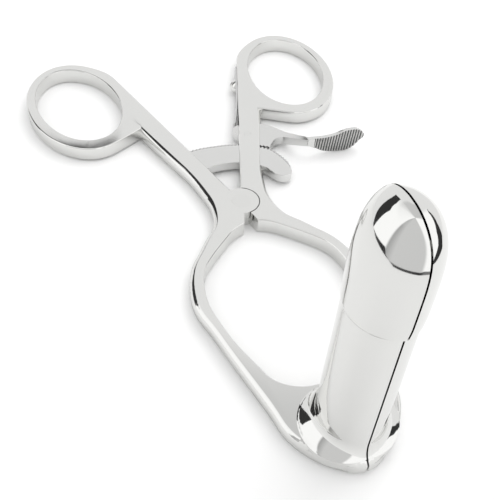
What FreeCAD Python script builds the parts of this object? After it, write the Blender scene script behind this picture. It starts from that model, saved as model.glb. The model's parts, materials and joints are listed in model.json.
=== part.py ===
"""Self-retaining speculum with finger rings, a toothed bar and a release lever.

Millimetres.  The hinge axis is the world Z axis and the underside of the arms is z = 0.
+Y runs from the hinge to the finger rings, -Y to the blades, and the blades stand up in +Z.
Each side is drawn once, on the +X side, and mirrored for the other hand.
The halves are shown closed, with a narrow slit between them on the plane x = 0.
"""
import FreeCAD
import Part
import math
import os

os.makedirs("parts", exist_ok=True)
Vec = FreeCAD.Vector
UP = Vec(0, 0, 1)

# Arms
arm_thick = 6.0
half_slit = 0.25
outer_bevel = 1.5
ring_bevel = 0.5
ring_low_bevel = 1.1
inner_bevel = 0.5
hole_bevel = 0.4
shank_lean = 19.9
shank_foot = Vec(14.6, 20.7, 0)
crook_y = 46.8
shank_top = Vec(1.8, 6.1, 0)
inner_lean = 17.74
waist_half = 10.5
bow_half = 28.0
bow_y = -36.0
bow_width = 4.5

# Finger rings: the hole and the outside are ellipses that lean outwards
hole_centre = Vec(42.5, 68.1, 0)
hole_half_width = 15.15
hole_half_length = 23.0
hole_lean = 9.2
ring_side_wall = 4.05
ring_end_wall = 4.5
ring_centre = hole_centre + Vec(-0.4, -0.75, 0)
ring_half_width = hole_half_width + ring_side_wall
ring_half_length = hole_half_length + ring_end_wall
ring_lean = 7.2
ring_join_turn = 30.0

# Hinge: a half lap, the round lobe of the left arm on top
lobe_radius = 6.1
lobe_clearance = 0.3
lap_clearance = 0.03
hinge_pin_radius = 2.4
hinge_head_radius = 3.3
hinge_head_height = 0.9
running_fit = 0.05

# Blades: two half shells, each section an arc from seam to seam
blade_y = -87.85
shaft_depth = 10.6
shaft_width = 9.2
shaft_taper = 0.25
wall = 1.4
blade_foot_z = 11.6
spigot_depth = 6.0
spigot_step = 0.7
shoulder_z = 55.9
shoulder_rise = 1.1
shoulder_step = 0.95
bulb_swell = 0.45
dome_start_z = 62.0
dome_height = 25.0
dome_depth_power = 5.2
dome_width_power = 4.0
foot_radius = 13.2
flare_spread_width = 4.7
flare_spread_depth = 1.3

# Toothed bar, concentric with the hinge
bar_inner = 21.2
bar_outer = 31.6
bar_thick = 3.4
bar_end_angle = 61.0
bar_tail_angle = -29.0
bar_tail_inset = 1.2
bar_fall_angle = 39.5
bar_fall = 0.19
bar_rise = 0.07
tooth_pitch = 2.5
tooth_height = 0.65
tooth_lean = 36.0
first_tooth = -17.5
slot_clearance = 0.1
slot_end = 46.0
slot_turn = 44.0
free_end_step = 1.0

# Release lever, its pin and its leaf spring
lever_pivot = Vec(14.0, 33.2, 0)
lever_pin_radius = 1.25
engage_turn = 5.0
tooth_clearance = 0.12
pawl_lift = 0.15
pawl_start = 32.0
pawl_end = 38.7
pad_y = 20.6
pad_start = 33.0
pad_end = 55.8
pad_low_z = 0.75
pad_top_z = 9.0
pad_thick = 1.8
pad_grooves = 17
groove_radius = 0.55
groove_depth = 0.35
spring_thick = 0.7
spring_height = 4.4
spring_top_y = hole_centre.y + 8.8
spring_foot_y = 41.2
spring_stand = 1.1
screw_y = hole_centre.y - 1.7
screw_radius = 1.25
screw_length = 5.2
screw_head_radius = 2.8
screw_head_height = 2.1

middle_z = arm_thick / 2


def polar(radius, angle, z=0.0):
    """A point at a distance from the hinge; the angle runs from +Y towards +X."""
    turn = math.radians(angle)
    return Vec(radius * math.sin(turn), radius * math.cos(turn), z)


def along(angle):
    """A unit step in the plane; the angle runs from +Y towards +X."""
    return polar(1.0, angle)


def mirrored(shape):
    """The same piece for the other hand."""
    return shape.mirror(Vec(0, 0, 0), Vec(1, 0, 0))


def ellipse(centre, half_width, half_length, lean):
    """An ellipse whose long axis leans from +Y towards +X."""
    long_end = centre + along(lean) * half_length
    wide_end = centre + along(lean - 90) * half_width
    return Part.Ellipse(long_end, wide_end, centre)


def slab(edges, low, high):
    """A closed outline at z = 0, raised to a solid from one height to another."""
    face = Part.Face(Part.Wire(Part.__sortEdges__(edges)))
    solid = face.extrude(Vec(0, 0, high - low))
    solid.translate(Vec(0, 0, low))
    return solid


def disc(radius, low, high, centre=Vec(0, 0, 0)):
    """An upright cylinder between two heights."""
    return Part.makeCylinder(radius, high - low, Vec(centre.x, centre.y, low), UP)


def arc_from(start, way, stop):
    """The arc that leaves one point in a given direction and ends at another."""
    chord = stop - start
    half = chord.Length / 2
    chord.normalize()
    side = way - chord * way.dot(chord)
    if side.Length < 1e-5:
        return Part.makeLine(start, stop)
    turn = math.atan2(side.Length, way.dot(chord))
    side.normalize()
    middle = (start + stop) * 0.5 + side * (half * math.tan(turn / 2))
    return Part.Arc(start, middle, stop).toShape()


def smooth(points, first_way, last_way):
    """A smooth chain of arcs through points, two between each pair, with given end directions."""
    ways = [Vec(first_way)]
    for back, here, ahead in zip(points, points[1:], points[2:]):
        before = here - back
        after = ahead - here
        ways.append(before * (after.Length / before.Length) + after * (before.Length / after.Length))
    ways.append(Vec(last_way))
    for way in ways:
        way.normalize()
    edges = []
    for start, stop, way, next_way in zip(points, points[1:], ways, ways[1:]):
        gap = stop - start
        both = way + next_way
        spare = 2 * (1 - way.dot(next_way))
        reach = gap.dot(gap) / (2 * gap.dot(both))
        if spare > 1e-9:
            reach = (math.sqrt(gap.dot(both) ** 2 + spare * gap.dot(gap)) - gap.dot(both)) / spare
        middle = (start + way * reach + stop - next_way * reach) * 0.5
        first = arc_from(start, way, middle)
        second = arc_from(stop, next_way * -1, middle)
        edges += [first, second]
    return edges


def ring_point(turn):
    """A point of the ring's outside and the way on from it; the turn runs from its far end inwards."""
    long_way = along(ring_lean) * ring_half_length
    wide_way = along(ring_lean - 90) * ring_half_width
    point = ring_centre + long_way * math.cos(turn) + wide_way * math.sin(turn)
    return point, wide_way * math.cos(turn) - long_way * math.sin(turn)


def ring_touch(point):
    """The turn at which a line from a point below the ring just touches it."""
    offset = point - ring_centre
    u = offset.dot(along(ring_lean)) / ring_half_length
    v = offset.dot(along(ring_lean - 90)) / ring_half_width
    return math.atan2(v, u) + math.acos(1 / math.hypot(u, v))


def outer_side():
    """The outside of one arm, from the front of the foot up to the shank."""
    way = along(shank_lean)
    points = [
        Vec(half_slit, blade_y - foot_radius, 0),
        Vec(9.6, -96.4, 0),
        Vec(16.1, -88.0, 0),
        Vec(19.1, -76.0, 0),
        Vec(24.9, -52.0, 0),
        Vec(bow_half, bow_y, 0),
        Vec(25.2, -25.0, 0),
        Vec(18.4, -15.4, 0),
        Vec(12.0, -6.8, 0),
        Vec(waist_half, 0.5, 0),
        Vec(11.7, 10.0, 0),
        shank_foot,
    ]
    return smooth(points, Vec(1, 0, 0), way)


def inner_side():
    """The inside of one jaw, from the crotch at the hinge round to the back of the foot."""
    points = [
        Vec(2.4, -10.3, 0),
        Vec(6.4, -12.1, 0),
        Vec(11.4, -16.2, 0),
        Vec(16.2, -20.7, 0),
        Vec(20.6, -25.8, 0),
        Vec(bow_half - bow_width, bow_y, 0),
        Vec(21.9, -50.0, 0),
        Vec(17.4, -63.5, 0),
        Vec(14.2, -70.2, 0),
        Vec(9.0, -73.8, 0),
        Vec(half_slit, blade_y + foot_radius - 0.3, 0),
    ]
    return smooth(points, Vec(0.95, -0.3, 0), Vec(-1, 0, 0))


def plain_arm():
    """One flat arm with its edges bevelled, before the hinge is cut."""
    crotch_top = Vec(1.1, -6.0, 0)
    outer = outer_side()
    inner = inner_side()
    crook = shank_foot + along(shank_lean) * ((crook_y - shank_foot.y) / along(shank_lean).y)
    under_turn = ring_touch(crook)
    join_turn = 2 * math.pi + math.radians(ring_join_turn)
    join, join_way = ring_point(join_turn)
    shoulder = wall_point(ring_centre.y + 0.48 * ring_half_length)
    ring = ellipse(ring_centre, ring_half_width, ring_half_length, ring_lean)
    crotch = Vec(2.4, -10.3, 0)
    foot_back = Vec(half_slit, blade_y + foot_radius - 0.3, 0)
    foot_front = Vec(half_slit, blade_y - foot_radius, 0)
    edges = outer + [
        Part.makeLine(shank_foot, crook),
        Part.makeLine(crook, ring_point(under_turn)[0]),
        ring.toShape(under_turn, join_turn),
        Part.makeLine(shoulder, shank_top),
        Part.makeLine(shank_top, crotch_top),
        Part.makeLine(crotch_top, crotch),
        Part.makeLine(foot_back, foot_front),
    ] + inner + smooth([join, shoulder], join_way, along(inner_lean) * -1)
    body = slab(edges, 0, arm_thick)
    rim = [e for e in body.Edges if lies_flat(e) and meets(e, shank_foot) and meets(e, crook)]
    body = body.makeChamfer(outer_bevel, rim)
    rim = [e for e in body.Edges if lies_flat(e) and meets(e, shoulder) and e.BoundBox.ZMin > middle_z]
    body = body.makeChamfer(ring_bevel, rim)
    rim = [e for e in body.Edges if lies_flat(e) and meets(e, shoulder) and e.BoundBox.ZMin < middle_z]
    body = body.makeChamfer(ring_low_bevel, rim)
    rim = [e for e in body.Edges if lies_flat(e) and meets(e, foot_back) and not meets(e, foot_front)]
    body = body.makeChamfer(inner_bevel, rim)
    hole = ellipse(hole_centre, hole_half_width, hole_half_length, hole_lean).toShape()
    body = body.cut(slab([hole], -1, arm_thick + 1))
    rim = [e for e in body.Edges if lies_flat(e) and len(e.Vertexes) == 1]
    return body.makeChamfer(hole_bevel, rim).Solids[0]


def lies_flat(edge):
    """True for an edge that keeps to one height."""
    box = edge.BoundBox
    return box.ZLength < 1e-3


def meets(edge, point):
    """True for an edge that ends above or on a point of the outline."""
    return any(math.hypot(v.X - point.x, v.Y - point.y) < 1e-2 for v in edge.Vertexes)


def half_section(width, depth, z):
    """The +X half of a section: an arc from seam to seam over the side, closed along the seam."""
    radius = (width * width + depth * depth) / (2 * width)
    reach = math.sqrt(radius * radius - (half_slit - width + radius) ** 2)
    front = Vec(half_slit, blade_y - reach, z)
    back = Vec(half_slit, blade_y + reach, z)
    arc = Part.Arc(front, Vec(width, blade_y, z), back).toShape()
    return Part.Wire([arc, Part.makeLine(back, front)])


def half_post(width, depth, low, high):
    """An upright post on one half of that section."""
    return Part.Face(half_section(width, depth, low)).extrude(Vec(0, 0, high - low))


def foot_flare():
    """One half of the hollow-sided flare between the flat foot and the blade."""
    sections = []
    steps = 6
    low_turn = math.radians(22)
    for i in range(steps + 1):
        turn = low_turn + (math.pi / 2 - low_turn) * i / steps
        spread = (1 - math.sin(turn)) / (1 - math.sin(low_turn))
        width = shaft_width + flare_spread_width * spread
        depth = shaft_depth + flare_spread_depth * spread
        z = blade_foot_z - (blade_foot_z - arm_thick) * math.cos(turn) / math.cos(low_turn)
        sections.append(half_section(width, depth, z))
    flare = Part.makeLoft(sections, True, False)
    root_width = shaft_width + flare_spread_width
    root = half_post(root_width, shaft_depth + flare_spread_depth, middle_z, arm_thick)
    return flare.fuse(root)


def arm_with_foot():
    """The plain arm with the socket that carries its blade."""
    body = plain_arm().fuse(foot_flare())
    bore = half_post(shaft_width - wall, shaft_depth - wall, -1, blade_foot_z + 1)
    low = blade_foot_z - spigot_depth
    socket = half_post(shaft_width - spigot_step, shaft_depth - spigot_step, low, blade_foot_z + 1)
    return body.cut(bore).cut(socket).removeSplitter()


def hinge_cone(clearance):
    """The flush countersunk ends of the hinge pin, with clearance where it has to turn."""
    small = hinge_pin_radius + clearance
    big = hinge_head_radius + clearance
    height = hinge_head_height + clearance
    low = Part.makeCone(big, small, height, Vec(0, 0, 0), UP)
    high = Part.makeCone(small, big, height, Vec(0, 0, arm_thick - height), UP)
    return low, high


def left_arm():
    """The arm with the upper lobe; the toothed bar is let into its shank."""
    body = mirrored(arm_with_foot())
    step = middle_z + lap_clearance / 2
    body = body.cut(disc(lobe_radius + lobe_clearance, -1, step))
    body = body.fuse(disc(lobe_radius, step, arm_thick)).removeSplitter()
    body = body.cut(disc(hinge_pin_radius, -1, arm_thick + 1))
    body = body.cut(hinge_cone(0)[1])
    return body.cut(toothed_bar())


def right_arm():
    """The arm with the lower lobe, slotted for the toothed bar and the lever."""
    body = arm_with_foot()
    step = middle_z - lap_clearance / 2
    body = body.cut(disc(lobe_radius + lobe_clearance, step, arm_thick + 1))
    body = body.fuse(disc(lobe_radius, 0, step)).removeSplitter()
    body = body.cut(disc(hinge_pin_radius + running_fit, -1, arm_thick + 1))
    body = body.cut(hinge_cone(running_fit)[0])
    body = body.cut(shank_slot())
    body = body.cut(disc(lever_pin_radius, -1, arm_thick + 1, lever_pivot))
    return body.cut(screw_core(screw_length + 0.6))


def shank_slot():
    """The slot through the right shank: concentric with the hinge at both ends."""
    half = bar_thick / 2 + slot_clearance
    near = bar_inner - lobe_clearance
    edges = [
        Part.Arc(polar(near, 0), polar(near, slot_turn / 2), polar(near, slot_turn)).toShape(),
        Part.makeLine(polar(near, slot_turn), polar(slot_end, slot_turn)),
        Part.Arc(polar(slot_end, slot_turn), polar(slot_end, slot_turn / 2), polar(slot_end, 0)).toShape(),
        Part.makeLine(polar(slot_end, 0), polar(near, 0)),
    ]
    return slab(edges, middle_z - half, middle_z + half)


def tooth_run(radius):
    """The angle over which the blocking face of a tooth leans, in degrees."""
    return math.degrees(tooth_height * math.tan(math.radians(tooth_lean)) / radius)


def crest_radius(angle):
    """The bar keeps to a circle under the lever, and draws in beyond it at the free end."""
    past_lever = max(0.0, angle - bar_fall_angle)
    past_start = max(0.0, -angle)
    return bar_outer - bar_fall * past_lever + bar_rise * past_start


def toothed_bar(grow=0.0):
    """The curved bar; grow adds to its outside for cutting the lever's teeth."""
    run = tooth_run(bar_outer)
    deep = grow - tooth_height
    points = [polar(crest_radius(first_tooth) + deep, bar_tail_angle)]
    angle = first_tooth
    while angle < bar_end_angle - 4.5 * tooth_pitch / 2:
        points.append(polar(crest_radius(angle) + deep, angle))
        points.append(polar(crest_radius(angle + run) + grow, angle + run))
        angle += tooth_pitch
    free_end = crest_radius(angle) + deep
    points.append(polar(free_end, angle))
    edges = []
    for start, stop in zip(points[1:], points[2:]):
        edges.append(Part.makeLine(start, stop))
    middle = (bar_tail_angle + first_tooth) / 2
    tail = Part.Arc(points[0], polar(crest_radius(first_tooth) + deep, middle), points[1]).toShape()
    inset = bar_inner + bar_tail_inset
    drawn_in = bar_inner - free_end_step
    nose = smooth([
        points[-1],
        polar(free_end - 0.9, bar_end_angle + 0.2),
        polar(free_end - 3.5, bar_end_angle + 5.5),
        polar(drawn_in + 1.4, bar_end_angle + 4.0),
        polar(drawn_in, bar_end_angle - 4.0),
        polar(drawn_in + 0.4, bar_end_angle - 11.0),
        polar(bar_inner, slot_turn),
    ], polar(1, angle + 105), polar(-1, slot_turn + 90))
    inner = Part.Arc(
        polar(bar_inner, slot_turn),
        polar(bar_inner, slot_turn / 2),
        polar(bar_inner, bar_tail_angle + 4),
    ).toShape()
    heel = Part.makeLine(polar(bar_inner, bar_tail_angle + 4), polar(inset, bar_tail_angle))
    back = Part.makeLine(polar(inset, bar_tail_angle), points[0])
    low = middle_z - bar_thick / 2
    return slab([tail] + edges + nose + [inner, heel, back], low, low + bar_thick)


def hinge_pin():
    """The flush rivet that the arms turn on."""
    low, high = hinge_cone(0)
    return disc(hinge_pin_radius, 0, arm_thick).fuse([low, high]).removeSplitter()


def lever_pin():
    """The plain pin of the release lever, flush with both faces of the shank."""
    return disc(lever_pin_radius, 0, arm_thick, lever_pivot)


def lever_plate():
    """The flat of the lever inside the slot: heel, eye, pawl and the root of the stem."""
    deep = bar_outer - tooth_height
    start = polar(deep, pawl_start)
    tip = polar(deep, pawl_end)
    relief = polar(bar_outer + 1.3, pawl_start - 1.5)
    stem_low = Vec(28.3, 29.0, 0)
    stem_high = Vec(29.9, 31.0, 0)
    top_end = Vec(20.4, 39.4, 0)
    heel_top = Vec(13.2, 40.6, 0)
    heel_low = Vec(10.7, 35.4, 0)
    corner = Vec(10.9, 31.4, 0)
    under = [tip, Vec(21.2, 27.0, 0), Vec(23.6, 29.2, 0), stem_low]
    over = [stem_high, Vec(26.6, 34.4, 0), Vec(23.6, 37.8, 0), top_end]
    heel = [heel_top, Vec(11.1, 40.0, 0), Vec(9.9, 38.4, 0), heel_low]
    edges = smooth(under, Vec(0.3, 1, 0), Vec(1, -0.25, 0))
    edges += smooth(over, Vec(-1, 0.55, 0), Vec(-1, 0.35, 0))
    edges += smooth(heel, Vec(-1, 0, 0), Vec(0.6, -1, 0))
    edges.append(Part.makeLine(stem_low, stem_high))
    edges.append(Part.makeLine(top_end, heel_top))
    edges.append(Part.makeLine(heel_low, corner))
    edges.append(Part.makeLine(corner, relief))
    edges.append(Part.makeLine(relief, start))
    edges.append(Part.makeLine(start, tip))
    low = middle_z - bar_thick / 2
    return slab(edges, low, low + bar_thick)


def release_lever():
    """The lever at rest: its pawl is cut where it bites the bar, then lifted just clear."""
    plate = lever_plate()
    plate.rotate(lever_pivot, UP, -engage_turn)
    plate = plate.cut(toothed_bar(tooth_clearance))
    plate.rotate(lever_pivot, UP, engage_turn)
    plate = plate.cut(disc(bar_outer + pawl_lift, -1, arm_thick + 1))
    body = plate.fuse([lever_stem(), thumb_pad()]).removeSplitter()
    return body.cut(disc(lever_pin_radius + running_fit, -1, 12, lever_pivot))


def lever_stem():
    """The slim stem, which rises and twists from the flat plate to the upright pad."""
    sections = []
    steps = 4
    start = Vec(27.6, 30.6, middle_z)
    stop = Vec(pad_start + 0.6, pad_y + pad_thick / 2, pad_top_z - 1.9)
    for i in range(steps + 1):
        part = i / steps
        centre = start + (stop - start) * part
        wide = 3.0 + (pad_thick - 3.0) * part
        tall = bar_thick + (3.0 - bar_thick) * part
        way = along(128 - 38 * part)
        side = along(38 - 38 * part) * (wide / 2)
        rise = Vec(0, 0, tall / 2)
        corners = [centre - side - rise, centre + side - rise, centre + side + rise]
        corners.append(centre - side + rise)
        sections.append(Part.makePolygon(corners + corners[:1]))
    return Part.makeLoft(sections, True, False)


def thumb_pad():
    """The upright pad with rounded grooves across its face."""
    low = pad_low_z
    outline = smooth([
        Vec(pad_start, pad_y, pad_top_z - 2.9),
        Vec(pad_start + 3.4, pad_y, low + 3.3),
        Vec(pad_start + 6.2, pad_y, low + 1.5),
        Vec(pad_start + 11.5, pad_y, low),
        Vec(pad_end - 4.8, pad_y, low + 0.1),
        Vec(pad_end - 1.6, pad_y, low + 2.9),
        Vec(pad_end, pad_y, pad_top_z - 2.8),
        Vec(pad_end - 2.4, pad_y, pad_top_z - 0.1),
        Vec(pad_end - 5.6, pad_y, pad_top_z + 0.5),
        Vec(pad_start + 10.0, pad_y, pad_top_z - 0.9),
        Vec(pad_start, pad_y, pad_top_z - 0.3),
    ], Vec(0.8, 0, -0.6), Vec(-1, 0, 0.1))
    back = Part.makeLine(Vec(pad_start, pad_y, pad_top_z - 0.3), Vec(pad_start, pad_y, pad_top_z - 2.9))
    pad = Part.Face(Part.Wire(outline + [back])).extrude(Vec(0, pad_thick, 0))
    pitch = (pad_end - pad_start - 5.0) / (pad_grooves - 1)
    front = pad_y + groove_depth - groove_radius
    for i in range(pad_grooves):
        x = pad_start + 3.6 + i * pitch
        foot = Vec(x - 0.4, front, low - 2)
        pad = pad.cut(Part.makeCylinder(groove_radius, 14, foot, Vec(0.07, 0, 1)))
    return pad


def wall_way():
    """The direction along the inner wall of the right shank, and the way out of that wall."""
    return along(inner_lean), along(inner_lean - 90)


def wall_point(y):
    """The foot of the inner shank wall at one distance from the hinge."""
    way = along(inner_lean)
    return shank_top + way * ((y - shank_top.y) / way.y)


def screw_core(length):
    """The screw's shank, from the face of the spring into the arm."""
    way, out = wall_way()
    start = wall_point(screw_y) + out * spring_thick + Vec(0, 0, middle_z)
    return Part.makeCylinder(screw_radius, length + spring_thick, start, out * -1)


def spring_screw():
    """The slotted round-head screw that clamps the leaf spring."""
    way, out = wall_way()
    seat = wall_point(screw_y) + out * spring_thick + Vec(0, 0, middle_z)
    ball_radius = (screw_head_radius ** 2 + screw_head_height ** 2) / (2 * screw_head_height)
    centre = seat + out * (screw_head_height - ball_radius)
    head = Part.makeSphere(ball_radius, centre)
    head = head.common(Part.makeCylinder(screw_head_radius, screw_head_height + 1, seat, out))
    cut = Part.makeBox(8, 0.8, 2, Vec(-4, -0.4, 0))
    cut.rotate(Vec(0, 0, 0), Vec(0, 1, 0), 90)
    cut.rotate(Vec(0, 0, 0), UP, math.degrees(math.atan2(out.y, out.x)))
    cut.translate(seat + out * (screw_head_height - 0.9))
    return head.cut(cut).fuse(screw_core(screw_length)).removeSplitter()


def leaf_spring():
    """The strip along the shank, bowed a little off the wall at its lower end."""
    way, out = wall_way()
    edges = []
    ends = []
    for offset in (0, spring_thick):
        rest = wall_point(spring_top_y) + out * offset
        bend = wall_point(screw_y - 8.0) + out * offset
        foot = wall_point(spring_foot_y) + out * (offset + spring_stand)
        edges.append(Part.makeLine(rest, bend))
        edges.append(arc_from(bend, way * -1, foot))
        ends.append((rest, foot))
    for near, far in zip(*ends):
        edges.append(Part.makeLine(near, far))
    strip = Part.Face(Part.Wire(Part.__sortEdges__(edges))).extrude(Vec(0, 0, spring_height))
    strip.translate(Vec(0, 0, middle_z - spring_height / 2))
    return strip.cut(screw_core(screw_length))


def shell_body(inset, low, high):
    """One half of the blade as a filled form, drawn in by the wall for its hollow."""
    top_width = shaft_width - shaft_taper
    top_depth = shaft_depth - shaft_taper
    bulb_depth = top_depth + shoulder_step + bulb_swell
    shaft = Part.makeLoft([
        half_section(shaft_width - inset, shaft_depth - inset, low),
        half_section(top_width - inset, top_depth - inset, high),
    ], True, True)
    shoulder_top = high + shoulder_rise
    full_depth = top_depth + shoulder_step - inset
    shoulder = Part.makeLoft([
        half_section(top_width - inset, top_depth - inset, high),
        half_section(shaft_width - inset, full_depth, shoulder_top),
    ], True, True)
    sections = [
        half_section(shaft_width - inset, full_depth, shoulder_top),
        half_section(shaft_width - inset, bulb_depth - bulb_swell / 5 - inset, dome_start_z - 2.0),
    ]
    for share in (0.15, 0.4, 0.6, 0.74, 0.84, 0.91, 0.955, 0.985, 0.998):
        depth = (bulb_depth - inset) * math.sqrt(1 - share ** dome_depth_power)
        width = (shaft_width - inset) * math.sqrt(1 - share ** dome_width_power)
        sections.append(half_section(width, depth, dome_start_z + (dome_height - inset) * share))
    return shaft.fuse([shoulder, Part.makeLoft(sections, True, False)]).removeSplitter()


def right_blade():
    """One half shell: spigot, tapered shaft, shoulder and blunt closed end."""
    outside = shell_body(0, blade_foot_z, shoulder_z)
    low = blade_foot_z - spigot_depth
    spigot = half_post(shaft_width - spigot_step, shaft_depth - spigot_step, low, blade_foot_z)
    hollow = shell_body(wall, blade_foot_z, shoulder_z)
    bore = half_post(shaft_width - wall, shaft_depth - wall, low - 1, blade_foot_z)
    return outside.fuse(spigot).cut(hollow).cut(bore).removeSplitter()


pieces = {
    "left_arm": left_arm,
    "right_arm": right_arm,
    "hinge_pin": hinge_pin,
    "left_blade": lambda: mirrored(right_blade()),
    "right_blade": right_blade,
    "ratchet_bar": toothed_bar,
    "release_lever": release_lever,
    "lever_pin": lever_pin,
    "leaf_spring": leaf_spring,
    "spring_screw": spring_screw,
}

for name, build in pieces.items():
    shape = build()
    if len(shape.Solids) == 1:
        shape = shape.Solids[0]
    print(name, shape.ShapeType, len(shape.Solids), shape.isValid(), round(shape.Volume, 1))
    shape.exportStep("parts/" + name + ".step")
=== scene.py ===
import json
import math
import bmesh
import bpy
import numpy as np
from mathutils import Matrix, Vector


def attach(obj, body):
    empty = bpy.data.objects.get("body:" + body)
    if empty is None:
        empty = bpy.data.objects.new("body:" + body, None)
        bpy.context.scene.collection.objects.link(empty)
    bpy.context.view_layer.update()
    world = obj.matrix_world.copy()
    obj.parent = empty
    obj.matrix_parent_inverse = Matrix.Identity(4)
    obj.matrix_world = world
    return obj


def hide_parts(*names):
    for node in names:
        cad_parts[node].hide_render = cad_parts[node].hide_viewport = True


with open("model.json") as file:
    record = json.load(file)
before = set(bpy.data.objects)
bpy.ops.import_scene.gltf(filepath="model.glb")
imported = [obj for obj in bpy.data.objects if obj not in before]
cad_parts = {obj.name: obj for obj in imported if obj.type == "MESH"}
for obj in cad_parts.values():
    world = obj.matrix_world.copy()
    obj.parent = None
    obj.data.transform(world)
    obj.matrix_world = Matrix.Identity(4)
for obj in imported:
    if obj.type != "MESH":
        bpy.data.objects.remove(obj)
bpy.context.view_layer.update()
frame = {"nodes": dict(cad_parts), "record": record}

mm = 0.001


camera = {
    "place": (-67.7, -172.1, 182.4),  # mm, in the part's own frame
    "azimuth": -22.47,
    "elevation": 47.39,
    "roll": 4.37,
    "lens": 54.66,
    "sensor": 36,
    "nearest": 10,  # mm
}


def makeCamera(c):
    # back = the way from the object to the camera; the roll turns right and up about it
    a, e, t = (math.radians(c[k]) for k in ("azimuth", "elevation", "roll"))
    back = Vector((math.sin(a) * math.cos(e), -math.cos(a) * math.cos(e), math.sin(e)))
    right = (-back).cross(Vector((0, 0, 1))).normalized()
    up = right.cross(-back)
    rolledRight = right * math.cos(t) + up * math.sin(t)
    rolledUp = up * math.cos(t) - right * math.sin(t)
    data = bpy.data.cameras.new("photoCamera")
    data.sensor_fit = "HORIZONTAL"
    data.sensor_width = c["sensor"]
    data.lens = c["lens"]
    data.clip_start = c["nearest"] * mm
    obj = bpy.data.objects.new("photoCamera", data)
    bpy.context.scene.collection.objects.link(obj)
    turn = Matrix((rolledRight, rolledUp, back)).transposed().to_4x4()
    obj.matrix_world = Matrix.Translation(Vector(c["place"]) * mm) @ turn
    bpy.context.scene.camera = obj


makeCamera(camera)
bpy.context.scene.view_settings.view_transform = "Standard"
print("camera placed")


# short ways to add the nodes that the materials share
def newMaterial(name):
    mat = bpy.data.materials.new(name)
    mat.use_nodes = True
    nodes = mat.node_tree.nodes
    shader = next(n for n in nodes if n.type == "BSDF_PRINCIPLED")
    return mat, nodes, mat.node_tree.links, shader


def fillSocket(links, socket, value):
    # a number or a colour is typed in, and an output of another node is linked
    if isinstance(value, (int, float, tuple)):
        socket.default_value = value
    else:
        links.new(value, socket)


def addMath(nodes, links, kind, *values):
    node = nodes.new("ShaderNodeMath")
    node.operation = kind
    for socket, value in zip(node.inputs, values):
        fillSocket(links, socket, value)
    return node.outputs[0]


def addMix(nodes, links, factor, a, b):
    mix = nodes.new("ShaderNodeMix")
    mix.data_type = "RGBA"
    for key, value in (("Factor", factor), ("A", a), ("B", b)):
        fillSocket(links, mix.inputs[key], value)
    return mix.outputs["Result"]


def addNoise(nodes, links, coords, scale, detail, stretch=(1, 1, 1)):
    mapping = nodes.new("ShaderNodeMapping")
    mapping.inputs["Scale"].default_value = stretch
    links.new(coords, mapping.inputs["Vector"])
    noise = nodes.new("ShaderNodeTexNoise")
    noise.inputs["Scale"].default_value = scale
    noise.inputs["Detail"].default_value = detail
    links.new(mapping.outputs["Vector"], noise.inputs["Vector"])
    return noise.outputs["Fac"]


def addRange(nodes, links, value, low, high, noiseSpan=(0.3, 0.7)):
    # most of a noise lies within noiseSpan, and that part is spread from low to high
    spread = nodes.new("ShaderNodeMapRange")
    spread.inputs["From Min"].default_value = noiseSpan[0]
    spread.inputs["From Max"].default_value = noiseSpan[1]
    spread.inputs["To Min"].default_value = low
    spread.inputs["To Max"].default_value = high
    links.new(value, spread.inputs["Value"])
    return spread.outputs["Result"]


def addBump(nodes, links, height, strength, distance, normal=None):
    bump = nodes.new("ShaderNodeBump")
    bump.inputs["Strength"].default_value = strength
    bump.inputs["Distance"].default_value = distance * mm
    links.new(height, bump.inputs["Height"])
    if normal:
        links.new(normal, bump.inputs["Normal"])
    return bump.outputs["Normal"]


def paintedGrooveShade(nodes, links, coords, colour, g):
    # painted shade in the hollows between the thumb pad's ridges: a cosine across them, on the pad's
    # front only
    def step(kind, *values):
        return addMath(nodes, links, kind, *values)

    split = nodes.new("ShaderNodeSeparateXYZ")
    links.new(coords, split.inputs[0])
    x, y, z = (split.outputs[k] for k in "XYZ")
    lean = step("MULTIPLY", step("ADD", z, -g["footZ"] * mm), g["lean"])
    across = step("SUBTRACT", step("ADD", x, -g["firstX"] * mm), lean)
    wave = step("COSINE", step("MULTIPLY", across, 2 * math.pi / (g["pitch"] * mm)))
    wave = step("POWER", step("MULTIPLY_ADD", wave, 0.5, 0.5), g["sharp"])
    front = step("LESS_THAN", y, g["frontY"] * mm)
    begun = step("GREATER_THAN", x, (g["firstX"] - g["pitch"] / 2) * mm)
    dark = step("MULTIPLY", step("MULTIPLY", wave, front), begun)
    factor = step("MULTIPLY", dark, g["depth"])
    return addMix(nodes, links, factor, colour, (*g["tint"], 1))


def paintedGulletShade(nodes, links, coords, colour, g):
    # painted shade between the bar's teeth: a cosine of the angle about the hinge, past the radius
    # "near" only; the bar draws in past fallFrom and out below zero, and the shade follows it
    def step(kind, *values):
        return addMath(nodes, links, kind, *values)

    split = nodes.new("ShaderNodeSeparateXYZ")
    links.new(coords, split.inputs[0])
    x, y = split.outputs["X"], split.outputs["Y"]
    turn = step("DEGREES", step("ARCTAN2", x, y))
    radius = step("SQRT", step("ADD", step("MULTIPLY", x, x), step("MULTIPLY", y, y)))
    teeth = step("MULTIPLY", step("SUBTRACT", turn, g["first"]), 2 * math.pi / g["pitch"])
    wave = step("MULTIPLY_ADD", step("COSINE", teeth), 0.5, 0.5)
    pastLever = step("MAXIMUM", step("SUBTRACT", turn, g["fallFrom"]), 0)
    drawnIn = step("MULTIPLY", pastLever, g["fall"] * mm)
    drawnOut = step("MULTIPLY", step("MINIMUM", turn, 0), g["rise"] * mm)
    level = step("ADD", step("ADD", radius, drawnIn), drawnOut)
    near = step("GREATER_THAN", level, g["near"] * mm)
    factor = step("MULTIPLY", step("MULTIPLY", wave, near), g["depth"])
    return addMix(nodes, links, factor, colour, (*g["tint"], 1))


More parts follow.
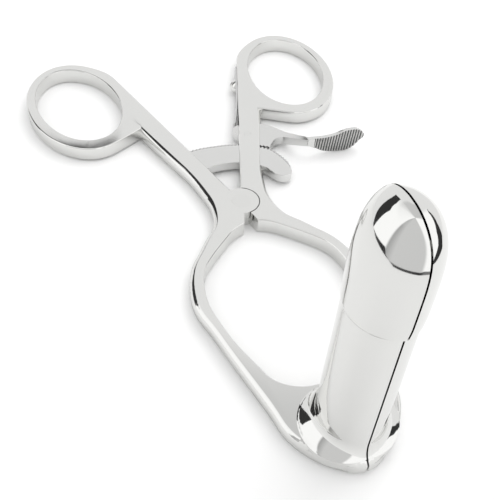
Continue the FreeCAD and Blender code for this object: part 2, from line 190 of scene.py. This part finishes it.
polish = {
    "toneScale": 60, "toneDetail": 3,
    "glossScale": 140, "glossDetail": 4,
    "grainDetail": 5, "grainDepth": 0.02,  # mm
    "rippleScale": 90, "rippleDetail": 1, "rippleDepth": 0.2,
}


def steel(name, s, p):
    # polished steel: slow drifts of tone and gloss, a fine lapped grain, faint ripples in the polish
    mat, nodes, links, shader = newMaterial(name)
    coords = nodes.new("ShaderNodeTexCoord").outputs["Object"]
    tone = addNoise(nodes, links, coords, p["toneScale"], p["toneDetail"])
    drifted = tuple(min(1, c * s["drift"]) for c in s["tint"])
    colour = addMix(nodes, links, tone, (*s["tint"], 1), (*drifted, 1))
    # painted shade in the hollows of the lever's thumb pad, where a finish asks for it
    if "grooves" in s:
        colour = paintedGrooveShade(nodes, links, coords, colour, s["grooves"])
    # painted shade between the ratchet bar's teeth, where a finish asks for it
    if "gulletShade" in s:
        colour = paintedGulletShade(nodes, links, coords, colour, s["gulletShade"])
    links.new(colour, shader.inputs["Base Color"])
    gloss = addNoise(nodes, links, coords, p["glossScale"], p["glossDetail"], s["grainWay"])
    links.new(addRange(nodes, links, gloss, *s["rough"]), shader.inputs["Roughness"])
    grain = addNoise(nodes, links, coords, s["grainScale"], p["grainDetail"], s["grainWay"])
    ripple = addNoise(nodes, links, coords, p["rippleScale"], p["rippleDetail"])
    fine = addBump(nodes, links, grain, s["grain"], p["grainDepth"])
    wide = addBump(nodes, links, ripple, s["ripple"], p["rippleDepth"], fine)
    links.new(wide, shader.inputs["Normal"])
    shader.inputs["Metallic"].default_value = 1
    return mat


# the studio, in mm; azimuths in degrees run from the front, -y (0), to the right, heights on the
# room's wall are sines of the elevation, and tones are linear
studio = {
    "floorHalf": 700,
    "floorCells": 8,
    "floorSink": 0.05,
    "floorTone": 0.955,
    "tableTone": 0.86,
    "tableHub": (0, -88, -0.03),
    "tableSides": 180,
    "tableRings": 12,
    "tableCrowding": 1.5,
    "tableReach": [(-180, 690), (-150, 690), (-132, 640), (-110, 390), (-86, 271), (-60, 178),
                   (-15, 160), (30, 180), (68, 205), (82, 240), (90, 640), (180, 690)],
    "paperScale": 8,
    "paperDetail": 3,
    "paperDrift": (0.995, 0.995, 0.99),
    "paperRough": 0.9,
    "worldLight": 1.0,
    "lampPower": 0.9,
    "lampPlace": (260, 160, 520),
    "lampSize": 420,
    "roomHub": (0, -88, 80),
    "roomRadius": 640,
    "roomLowest": -0.75,  # radians below the room's middle
    "roomSides": 144,
    "roomRings": 61,
    "glow": 1.25,
    "edgeBlur": 0.005,
    "dark": 0.04,
    "walls": [(-180, 0.97), (-160, 1.15), (-127, 1.2), (-87, 1.2), (-83, 0.45), (-68, 0.72),
              (-14, 0.71), (-9, 1.2), (104, 1.2), (112, 0.92), (172, 0.92), (180, 0.97)],
    "crown": [(-180, 0.80), (-150, 1.1), (-87, 1.2), (-83, 0.55), (-68, 0.72), (-14, 0.72),
              (-9, 1.2), (66, 1.2), (94, 0.68), (180, 0.70)],
    "crownFrom": (0.73, 0.85),
    "darkHeight": [(-180, 0.69), (-163, 0.70), (-136, 0.57), (-130, 0.24), (-127, -0.05),
                   (-125, -0.5), (56, -0.5), (60, -0.24), (72, -0.07), (80, 0.22), (104, 0.53),
                   (110, 0.54), (113, -0.5), (172, -0.5), (177, 0.69), (180, 0.69)],
    "hemHeight": [(-180, 0.45), (-172, 0.43), (-160, 0.31), (-144, 0.03), (-132, -0.11),
                  (-128, -0.14), (-86, -0.14), (-80, -0.29), (-70, -0.35), (-60, -0.37),
                  (-14, -0.40), (-9, -0.37), (68, -0.37), (82, -0.33), (88, -0.19), (92, 0.16),
                  (107, 0.51), (164, 0.45), (180, 0.45)],
    "hemTone": [(-180, 0.92), (-134, 0.92), (-130, 0.04), (-12, 0.04), (-9, 0.2), (66, 0.2),
                (70, 0.92), (180, 0.92)],
}


def gridMesh(name, points, closeU=False, closeV=False):
    # points is a (rows, columns, 3) array in mm; each cell becomes one four-sided face
    rows, cols, _ = points.shape
    index = np.arange(rows * cols).reshape(rows, cols)
    if closeU:
        index = np.vstack([index, index[:1]])
    if closeV:
        index = np.hstack([index, index[:, :1]])
    faces = np.stack([index[:-1, :-1], index[:-1, 1:], index[1:, 1:], index[1:, :-1]], -1)
    mesh = bpy.data.meshes.new(name)
    mesh.from_pydata(points.reshape(-1, 3) * mm, [], faces.reshape(-1, 4).tolist())
    mesh.validate()
    return mesh


def addObject(name, mesh, mat):
    obj = bpy.data.objects.new(name, mesh)
    bpy.context.scene.collection.objects.link(obj)
    obj.data.materials.clear()
    obj.data.materials.append(mat)
    return obj


def paper(name, tone, s):
    mat, nodes, links, shader = newMaterial(name)
    coords = nodes.new("ShaderNodeTexCoord").outputs["Object"]
    noise = addNoise(nodes, links, coords, s["paperScale"], s["paperDetail"])
    drifted = tuple(tone * c for c in s["paperDrift"])
    colour = addMix(nodes, links, noise, (tone, tone, tone, 1), (*drifted, 1))
    links.new(colour, shader.inputs["Base Color"])
    shader.inputs["Roughness"].default_value = s["paperRough"]
    return mat


def makeFloor(s):
    # the floor is what the camera sees; the metal mirrors only a table top, which ends close by
    # on the camera's side: a fan of rings about its hub, each a share of the reach that way
    span = np.linspace(-s["floorHalf"], s["floorHalf"], s["floorCells"] + 1)
    x, y = np.meshgrid(span, span, indexing="ij")
    points = np.stack([x, y, 0 * x - s["floorSink"]], -1)
    floor = addObject("floor", gridMesh("floor", points), paper("paper", s["floorTone"], s))
    floor.visible_glossy = False
    places, reach = zip(*s["tableReach"])
    turn = np.linspace(-180, 180, s["tableSides"] + 1)[:-1]
    far = np.interp(turn, places, reach)[:, None]
    turn = np.radians(turn)[:, None]
    share = np.linspace(0, 1, s["tableRings"])[None, :] ** s["tableCrowding"]
    x0, y0, z0 = s["tableHub"]
    points = np.stack([
        x0 + far * share * np.sin(turn),
        y0 - far * share * np.cos(turn),
        z0 + 0 * far * share,
    ], -1)
    mesh = gridMesh("mirroredTable", points, closeU=True)
    table = addObject("mirroredTable", mesh, paper("card", s["tableTone"], s))
    table.visible_camera = False
    table.visible_diffuse = False
    table.visible_shadow = False


def makeRoom(s):
    # a ball round the table, seen only in the metal: walls and a crown with tones by azimuth,
    # a dark panel up to one line drawn round the wall, and a hem up to another
    mat = bpy.data.materials.new("roomWall")
    mat.use_nodes = True
    nodes, links = mat.node_tree.nodes, mat.node_tree.links
    nodes.clear()

    def sums(kind, *values):
        return addMath(nodes, links, kind, *values)

    coords = nodes.new("ShaderNodeTexCoord").outputs["Object"]
    split = nodes.new("ShaderNodeSeparateXYZ")
    links.new(coords, split.inputs[0])
    turn = sums("ARCTAN2", split.outputs["X"], sums("MULTIPLY", split.outputs["Y"], -1.0))
    share = sums("ADD", sums("DIVIDE", turn, 2 * math.pi), 0.5)
    height = sums("DIVIDE", split.outputs["Z"], s["roomRadius"] * mm)

    def around(stops, lift=0.0, scale=1 / s["glow"]):
        # a colour ramp holds 0 to 1, so the values are lifted and scaled to fit it
        ramp = nodes.new("ShaderNodeValToRGB")
        while len(ramp.color_ramp.elements) < len(stops):
            ramp.color_ramp.elements.new(1)
        for element, (place, tone) in zip(ramp.color_ramp.elements, stops):
            element.position = (place + 180) / 360
            element.color = (*[(tone + lift) * scale] * 3, 1)
        links.new(share, ramp.inputs["Fac"])
        return ramp.outputs["Color"]

    def rise(value, low, high):
        step = nodes.new("ShaderNodeMapRange")
        step.interpolation_type = "SMOOTHSTEP"
        step.inputs["From Min"].default_value = low
        step.inputs["From Max"].default_value = high
        links.new(value, step.inputs["Value"])
        return step.outputs["Result"]

    def above(heights, lift=0.5, scale=0.5):
        # 1 over a line drawn round the wall and 0 under it; both are fitted to a ramp first
        here = sums("ADD", sums("MULTIPLY", height, scale), lift * scale)
        line = around(heights, lift, scale)
        return rise(sums("SUBTRACT", here, line), -s["edgeBlur"], s["edgeBlur"])

    walls, crown, hem = (around(s[k]) for k in ("walls", "crown", "hemTone"))
    dark = (*[s["dark"] / s["glow"]] * 3, 1)
    tone = addMix(nodes, links, rise(height, *s["crownFrom"]), walls, crown)
    tone = addMix(nodes, links, above(s["darkHeight"]), dark, tone)
    tone = addMix(nodes, links, above(s["hemHeight"]), hem, tone)
    glow = nodes.new("ShaderNodeEmission")
    glow.inputs["Strength"].default_value = s["glow"]
    links.new(tone, glow.inputs["Color"])
    out = nodes.new("ShaderNodeOutputMaterial")
    links.new(glow.outputs[0], out.inputs["Surface"])

    # a ball by longitude and latitude, cut off some way below its middle
    circle = np.linspace(0, 2 * np.pi, s["roomSides"] + 1)[:-1, None]
    upward = np.linspace(s["roomLowest"], np.pi / 2, s["roomRings"])[None, :]
    r = s["roomRadius"]
    points = np.stack([
        r * np.cos(circle) * np.cos(upward),
        r * np.sin(circle) * np.cos(upward),
        r * np.sin(upward) + 0 * circle,
    ], -1)
    room = addObject("room", gridMesh("room", points, closeU=True), mat)
    room.location = Vector(s["roomHub"]) * mm
    room.visible_camera = False
    room.visible_diffuse = False
    room.visible_shadow = False
    room.visible_transmission = False


def makeLight(s):
    world = bpy.data.worlds.new("whiteRoom")
    bpy.context.scene.world = world
    world.use_nodes = True
    background = world.node_tree.nodes["Background"]
    background.inputs["Color"].default_value = (1, 1, 1, 1)
    background.inputs["Strength"].default_value = s["worldLight"]
    data = bpy.data.lights.new("softBox", "AREA")
    data.shape = "SQUARE"
    data.size = s["lampSize"] * mm
    data.energy = s["lampPower"]
    lamp = bpy.data.objects.new("softBox", data)
    bpy.context.scene.collection.objects.link(lamp)
    lamp.location = Vector(s["lampPlace"]) * mm
    lamp.rotation_euler = (-lamp.location).to_track_quat("-Z", "Y").to_euler()
    lamp.visible_glossy = False


makeFloor(studio)
makeRoom(studio)
makeLight(studio)
print("studio lit")


finishes = {
    "arm_steel": {"tint": (0.80, 0.80, 0.785), "drift": 0.97, "rough": (0.05, 0.10),
                  "grain": 0.10, "grainScale": 900, "grainWay": (1, 0.25, 1), "ripple": 0.05},
    "blade_steel": {"tint": (0.80, 0.80, 0.785), "drift": 0.97, "rough": (0.04, 0.08),
                    "grain": 0.06, "grainScale": 900, "grainWay": (1, 1, 0.2), "ripple": 0.04},
    "bar_steel": {"tint": (0.77, 0.77, 0.76), "drift": 0.95, "rough": (0.14, 0.22),
                  "grain": 0.25, "grainScale": 1200, "grainWay": (0.3, 1, 1), "ripple": 0.04,
                  # painted shade between the teeth, as dark ticks
                  "gulletShade": {"first": -17.5, "pitch": 2.5, "near": 30.5, "fallFrom": 39.5,
                              "fall": 0.19, "rise": 0.07, "depth": 0.6,
                              "tint": (0.05, 0.05, 0.05)}},
    "lever_steel": {"tint": (0.76, 0.76, 0.75), "drift": 0.95, "rough": (0.16, 0.26),
                    "grain": 0.25, "grainScale": 1200, "grainWay": (0.3, 1, 1), "ripple": 0.06,
                    # painted shade in the hollows between the pad's ridges, as dark stripes
                    "grooves": {"firstX": 36.2, "footZ": -1.25, "lean": 0.07, "pitch": 1.1125,
                                "frontY": 21.0, "sharp": 0.7, "depth": 1.0,
                                "tint": (0.05, 0.05, 0.05)}},
    "pin_steel": {"tint": (0.79, 0.79, 0.775), "drift": 0.97, "rough": (0.06, 0.12),
                  "grain": 0.12, "grainScale": 1500, "grainWay": (1, 1, 1), "ripple": 0.03},
    "spring_steel": {"tint": (0.66, 0.66, 0.66), "drift": 0.94, "rough": (0.14, 0.24),
                     "grain": 0.2, "grainScale": 1400, "grainWay": (1, 1, 0.3), "ripple": 0.04},
}
steels = {name: steel(name, s, polish) for name, s in finishes.items()}
slotOf = {p["node"]: p["material_slot"] for p in frame["record"]["subparts"]}
bodyOf = {n: b for b, names in frame["record"]["behaviour"]["bodies"].items() for n in names}
for node, obj in frame["nodes"].items():
    obj.data.materials.clear()
    obj.data.materials.append(steels[slotOf[node]])
print("finishes made")


# how far each CAD piece's sharp edges are broken (mm), from what angle between faces, and how
# strongly the widest faces pull the shading
rounding = {
    "left_arm": {"width": 0.12, "angle": 52, "pull": 96},
    "right_arm": {"width": 0.12, "angle": 52, "pull": 96},
    "ratchet_bar": {"width": 0.14, "angle": 30, "pull": 96},
    "release_lever": {"width": 0.16, "angle": 32, "pull": 90},
    "hinge_pin": {"width": 0.05, "angle": 30, "pull": 96},
    "lever_pin": {"width": 0.05, "angle": 30, "pull": 96},
    "leaf_spring": {"width": 0.10, "angle": 30, "pull": 96},
    "spring_screw": {"width": 0.12, "angle": 30, "pull": 90},
}
joining = {"within": 0.002, "flatTo": 0.4, "segments": 2, "sameArea": 0.01}  # mm, degrees


def roundedCopy(node, r, j):
    # the piece again, its loose triangles joined into flats and its sharp edges broken by a small
    # radius; the normals follow the widest faces, so a bevel shades as a rounded edge
    mesh = frame["nodes"][node].data.copy()
    mesh.name = node + "Dressed"
    work = bmesh.new()
    work.from_mesh(mesh)
    flat = math.radians(j["flatTo"])
    bmesh.ops.remove_doubles(work, verts=work.verts, dist=j["within"] * mm)
    bmesh.ops.dissolve_limit(work, angle_limit=flat, verts=work.verts, edges=work.edges)
    work.to_mesh(mesh)
    work.free()
    mesh.shade_smooth()
    obj = addObject(node + "Dressed", mesh, steels[slotOf[node]])
    bevel = obj.modifiers.new("breakEdges", "BEVEL")
    bevel.width = r["width"] * mm
    bevel.segments = j["segments"]
    bevel.limit_method = "ANGLE"
    bevel.angle_limit = math.radians(r["angle"])
    bevel.use_clamp_overlap = True
    weigh = obj.modifiers.new("wideFacesFirst", "WEIGHTED_NORMAL")
    weigh.mode = "FACE_AREA"
    weigh.weight = r["pull"]
    weigh.thresh = j["sameArea"]
    weigh.keep_sharp = True
    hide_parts(node)
    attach(obj, bodyOf[node])


for node, r in rounding.items():
    roundedCopy(node, r, joining)
    print("rounded", node)


# one half shell of the two blades, in mm
blade = {
    "axisY": -87.85,
    "slit": 0.25,  # from the middle plane to this half
    "wall": 1.4,
    "footZ": 6.0,
    "flareTopZ": 11.6,
    "flareFrom": 22,  # degrees of the quarter round
    "shoulderZ": 55.9,
    "shoulderRise": 1.1,
    "shaftDepth": 10.6,
    "shaftWidth": 9.2,
    "taper": 0.25,
    "shoulderStep": 0.95,
    "swell": 0.45,
    "domeZ": 62.0,
    "domeHeight": 25.0,
    "topZ": 86.95,
    "depthPower": 5.2,
    "widthPower": 4.0,
    "flareWidth": 4.7,
    "flareDepth": 1.3,
    "proud": 0.02,
    "least": 0.01,  # so that the tip's rows keep a width
    "rows": {"flare": 16, "shaft": 33, "shoulder": 10, "swell": 13, "dome": 89},
    "columns": 72,
    "within": 0.003,
    "edge": 0.2,
    "edgeFrom": 40,  # degrees between faces
    "edgeSegments": 3,
}


def smoothStep(t):
    return t * t * (3 - 2 * t)


def bladeProfile(b, inset):
    # half depth, half width and height from the foot up: a quarter-round flare, a slightly tapered
    # shaft, a short step out, a gentle swell, then a blunt dome where each half size is its full
    # size times the root of (1 - share of the height to a power)
    def shares(part):
        return np.linspace(0, 1, b["rows"][part] + 1)[1:]

    depth, width = b["shaftDepth"], b["shaftWidth"]
    low = math.radians(b["flareFrom"])
    turn = np.linspace(low, np.pi / 2, b["rows"]["flare"])
    spread = (1 - np.sin(turn)) / (1 - math.sin(low))
    if inset:
        spread = spread * 0  # the hollow is straight at the foot
    height = b["flareTopZ"] - (b["flareTopZ"] - b["footZ"]) * np.cos(turn) / math.cos(low)
    flare = [depth + b["flareDepth"] * spread, width + b["flareWidth"] * spread, height]
    t = shares("shaft")
    shaft = [depth - b["taper"] * t, width - b["taper"] * t,
             b["flareTopZ"] + (b["shoulderZ"] - b["flareTopZ"]) * t]
    t = shares("shoulder")
    shoulder = [depth - b["taper"] + b["shoulderStep"] * smoothStep(t),
                width - b["taper"] * (1 - smoothStep(t)),
                b["shoulderZ"] + b["shoulderRise"] * t]
    t = shares("swell")
    start = b["shoulderZ"] + b["shoulderRise"]
    full = depth - b["taper"] + b["shoulderStep"] + b["swell"]
    swell = [full - b["swell"] * (1 - np.sin(t * np.pi / 2)), width + 0 * t,
             start + (b["domeZ"] - start) * t]
    share = np.sin(shares("dome") * np.pi / 2)
    dome = [(full - inset) * np.sqrt(1 - share ** b["depthPower"]) + inset,
            (width - inset) * np.sqrt(1 - share ** b["widthPower"]) + inset,
            b["domeZ"] + (b["domeHeight"] - inset) * share]
    rows = np.concatenate([np.stack(part, -1) for part in (flare, shaft, shoulder, swell, dome)])
    rows[:, :2] += b["proud"] - inset
    rows[:, 0] = np.maximum(rows[:, 0], b["least"])
    rows[:, 1] = np.maximum(rows[:, 1], b["slit"] + b["least"])
    rows[:, 2] = np.minimum(rows[:, 2], b["topZ"])
    return rows


def shellSurface(b, inset):
    # half a section at every height: an arc from the front seam over the side to the back seam,
    # through the three points that the half depth and the half width give
    depth, width, z = bladeProfile(b, inset).T
    radius = (width ** 2 + depth ** 2) / (2 * width)
    middle = width - radius
    reach = np.arccos(np.clip((b["slit"] - middle) / radius, -1, 1))[:, None]
    angle = reach * np.linspace(-1, 1, b["columns"])[None, :]
    return np.stack([
        middle[:, None] + radius[:, None] * np.cos(angle),
        b["axisY"] + radius[:, None] * np.sin(angle),
        z[:, None] + 0 * angle,
    ], -1)


def bladePiece(name, side, b):
    # one closed loop of columns: outside front to back, then inside back to front
    loop = np.concatenate([shellSurface(b, 0), shellSurface(b, b["wall"])[:, ::-1]], 1)
    loop[..., 0] *= side
    mesh = gridMesh("blade", loop, closeV=True)
    work = bmesh.new()
    work.from_mesh(mesh)
    bmesh.ops.remove_doubles(work, verts=work.verts, dist=b["within"] * mm)
    bmesh.ops.holes_fill(work, edges=[e for e in work.edges if e.is_boundary])
    bmesh.ops.recalc_face_normals(work, faces=work.faces)
    work.to_mesh(mesh)
    work.free()
    mesh.shade_smooth()
    obj = addObject(name + "BladeShell", mesh, steels["blade_steel"])
    bevel = obj.modifiers.new("breakEdges", "BEVEL")
    bevel.width = b["edge"] * mm
    bevel.segments = b["edgeSegments"]
    bevel.limit_method = "ANGLE"
    bevel.angle_limit = math.radians(b["edgeFrom"])
    bevel.harden_normals = True
    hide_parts(name + "_blade")
    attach(obj, bodyOf[name + "_blade"])
    print("blade shell", name, len(mesh.polygons))


for name, side in (("left", -1), ("right", 1)):
    bladePiece(name, side, blade)
